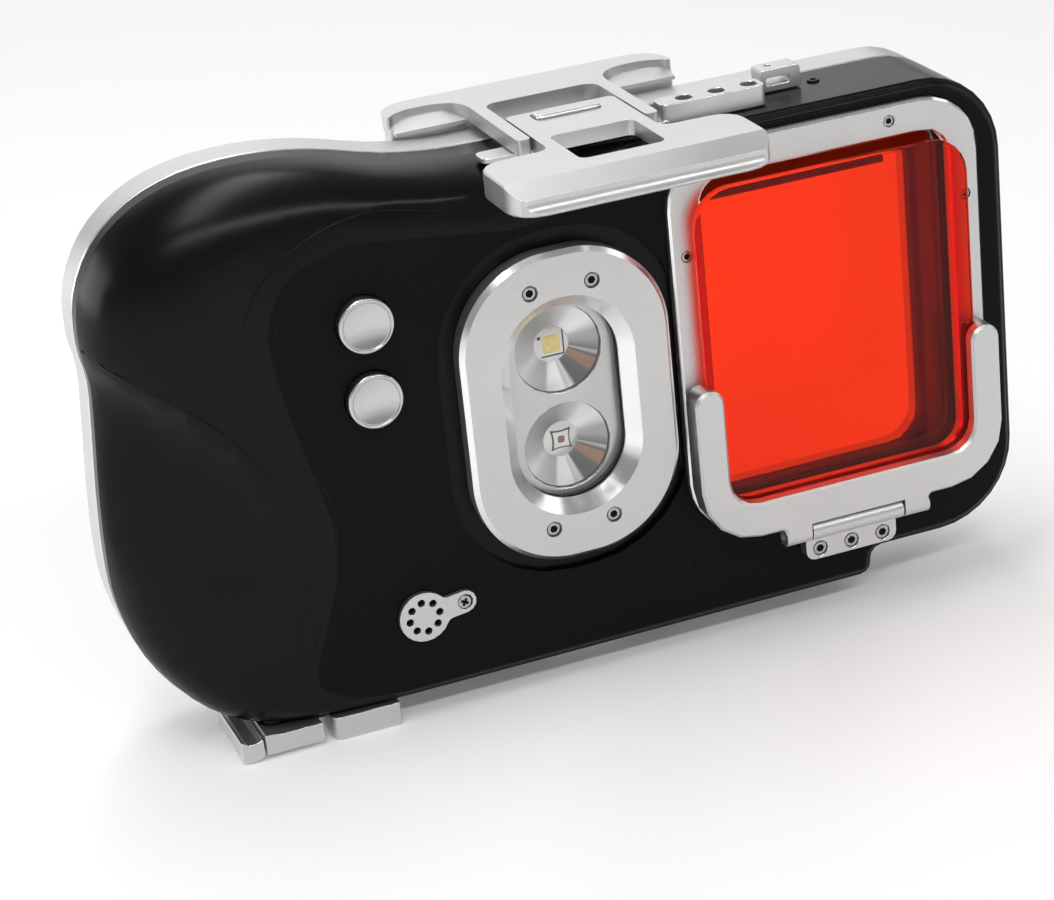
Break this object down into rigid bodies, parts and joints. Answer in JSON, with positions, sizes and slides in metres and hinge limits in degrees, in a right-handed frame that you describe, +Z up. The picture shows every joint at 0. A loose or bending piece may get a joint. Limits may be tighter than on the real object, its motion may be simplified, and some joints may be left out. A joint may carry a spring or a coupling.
{
  "type": "underwater phone housing",
  "caption": "Sealed underwater housing for a phone, with a camera port, flip-down filter, twin lamp, squeeze latch on top and a hinged rear door with window and buttons.",
  "frame": {"origin": "middle of the bounding box's bottom, on the surface the housing stands on", "axes": "+X to the camera port end, -Y to the front where the port and lamp look, +Z up"},
  "size_m": [0.2176, 0.0786, 0.1336],
  "materials": {
    "bead_blasted_aluminium": "bead-blasted and clear anodised",
    "black_anodised_aluminium": "fine satin black anodising",
    "stainless_steel": "ground",
    "black_rubber": "moulded, matt",
    "clear_glass": "polished",
    "orange_acrylic": "clear-coloured, polished",
    "reflector_aluminium": "mirror polished",
    "circuit_board": "solder mask",
    "led_phosphor": "clear dome over phosphor",
    "led_chip": "clear dome over dark chip",
    "cell_wrap": "shrink film"
  },
  "bodies": {
    "housing": {"front_casing": "black_anodised_aluminium", "port_frame": "bead_blasted_aluminium", "port_glass": "clear_glass", "port_gasket": "black_rubber", "lamp_bezel": "bead_blasted_aluminium", "lamp_window": "clear_glass", "lamp_gasket": "black_rubber", "reflector_plate": "bead_blasted_aluminium", "upper_reflector": "reflector_aluminium", "lower_reflector": "reflector_aluminium", "white_led": "led_phosphor", "red_led": "led_chip", "led_board": "circuit_board", "heat_spreader": "bead_blasted_aluminium", "white_lamp_button_spring": "stainless_steel", "red_lamp_button_spring": "stainless_steel", "sensor_guard": "bead_blasted_aluminium", "sensor_membrane": "black_rubber", "filter_hinge_base": "bead_blasted_aluminium", "filter_hinge_pin": "stainless_steel", "latch_rail": "bead_blasted_aluminium", "lanyard_bracket": "bead_blasted_aluminium", "door_hinge_leaf": "bead_blasted_aluminium", "door_hinge_pin": "stainless_steel", "charge_hinge_block": "bead_blasted_aluminium", "charge_door_pin": "stainless_steel", "charge_socket": "stainless_steel", "phone_cradle": "black_anodised_aluminium", "cradle_pad": "black_rubber", "control_board": "circuit_board", "battery_pack": "cell_wrap", "left_foot": "black_rubber", "right_foot": "black_rubber", "tripod_bush": "stainless_steel"},
    "door": {"rear_door": "bead_blasted_aluminium", "rear_window": "clear_glass", "window_retainer": "black_anodised_aluminium", "door_seal": "black_rubber", "latch_fork": "bead_blasted_aluminium", "rear_button_board": "circuit_board"},
    "filter": {"filter_holder": "bead_blasted_aluminium", "filter_plate": "orange_acrylic"},
    "slider": {"latch_slider": "bead_blasted_aluminium"},
    "lock": {"lock_button": "bead_blasted_aluminium"},
    "white_button": {"white_lamp_button": "bead_blasted_aluminium"},
    "red_button": {"red_lamp_button": "bead_blasted_aluminium"},
    "clamp": {"cradle_clamp": "black_anodised_aluminium", "clamp_pad": "black_rubber"},
    "charge_door": {"charge_door": "bead_blasted_aluminium", "charge_door_seal": "black_rubber"},
    "charge_latch": {"charge_latch": "bead_blasted_aluminium"},
    "rear_button_1": {"rear_button_1": "bead_blasted_aluminium"},
    "rear_button_2": {"rear_button_2": "bead_blasted_aluminium"},
    "rear_button_3": {"rear_button_3": "bead_blasted_aluminium"},
    "rear_button_4": {"rear_button_4": "bead_blasted_aluminium"}
  },
  "joints": [
    {"name": "door_swing", "type": "hinge", "parent": "housing", "child": "door", "pos_m": [-0.0002, 0.01565, 0.0027], "axis": [-1, 0, 0], "range_deg": [0, 110]},
    {"name": "filter_flip", "type": "hinge", "parent": "housing", "child": "filter", "pos_m": [0.0627, -0.0143, 0.025], "axis": [1, 0, 0], "range_deg": [0, 180]},
    {"name": "latch_squeeze", "type": "slide", "parent": "housing", "child": "slider", "axis": [0, 1, 0], "range_m": [0, 0.0045], "stiffness_N_per_m": 300},
    {"name": "lock_press", "type": "slide", "parent": "slider", "child": "lock", "axis": [0, 0, -1], "range_m": [0, 0.0007], "stiffness_N_per_m": 400},
    {"name": "white_lamp_press", "type": "slide", "parent": "housing", "child": "white_button", "axis": [0, 1, 0], "range_m": [0, 0.0013], "stiffness_N_per_m": 400, "deforming": ["white_lamp_button_spring"]},
    {"name": "red_lamp_press", "type": "slide", "parent": "housing", "child": "red_button", "axis": [0, 1, 0], "range_m": [0, 0.0013], "stiffness_N_per_m": 400, "deforming": ["red_lamp_button_spring"]},
    {"name": "clamp_slide", "type": "slide", "parent": "housing", "child": "clamp", "axis": [0, 0, -1], "range_m": [0, 0.018]},
    {"name": "charge_door_swing", "type": "hinge", "parent": "housing", "child": "charge_door", "pos_m": [-0.0655, 0.0019, 0.0025], "axis": [0, -1, 0], "range_deg": [0, 110]},
    {"name": "charge_catch_swing", "type": "hinge", "parent": "housing", "child": "charge_latch", "pos_m": [-0.088, 0.0019, 0.004], "axis": [0, 1, 0], "range_deg": [0, 75]},
    {"name": "rear_button_1_press", "type": "slide", "parent": "door", "child": "rear_button_1", "axis": [0, -1, 0], "range_m": [0, 0.0012], "stiffness_N_per_m": 400},
    {"name": "rear_button_2_press", "type": "slide", "parent": "door", "child": "rear_button_2", "axis": [0, -1, 0], "range_m": [0, 0.0012], "stiffness_N_per_m": 400},
    {"name": "rear_button_3_press", "type": "slide", "parent": "door", "child": "rear_button_3", "axis": [0, -1, 0], "range_m": [0, 0.0012], "stiffness_N_per_m": 400},
    {"name": "rear_button_4_press", "type": "slide", "parent": "door", "child": "rear_button_4", "axis": [0, -1, 0], "range_m": [0, 0.0012], "stiffness_N_per_m": 400}
  ]
}
